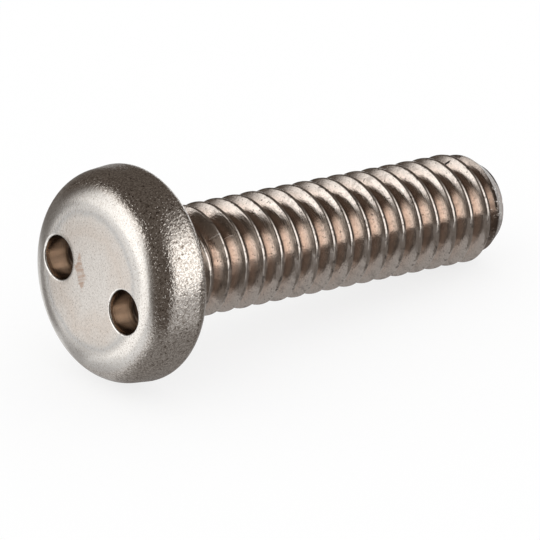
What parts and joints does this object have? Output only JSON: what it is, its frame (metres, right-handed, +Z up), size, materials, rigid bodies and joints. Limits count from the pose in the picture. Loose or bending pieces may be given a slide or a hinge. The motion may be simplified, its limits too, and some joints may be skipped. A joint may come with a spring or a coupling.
{
  "type": "spanner head machine screw",
  "caption": "Stainless pan head machine screw with a flat face, a two-hole tamper-resistant spanner drive and a full right-hand thread, lying on its side.",
  "frame": {"origin": "on the floor, at the middle of the bottom of the lying screw's bounding box", "axes": "+Z up, +X along the screw's length as seen from above, from the head towards the tip"},
  "size_m": [0.0286, 0.012, 0.0121],
  "materials": {
    "stainless": "tumbled stainless steel, satin and finely grained on the head, smooth and brighter on the rolled thread"
  },
  "bodies": {
    "root": {"screw": "stainless"}
  },
  "joints": []
}
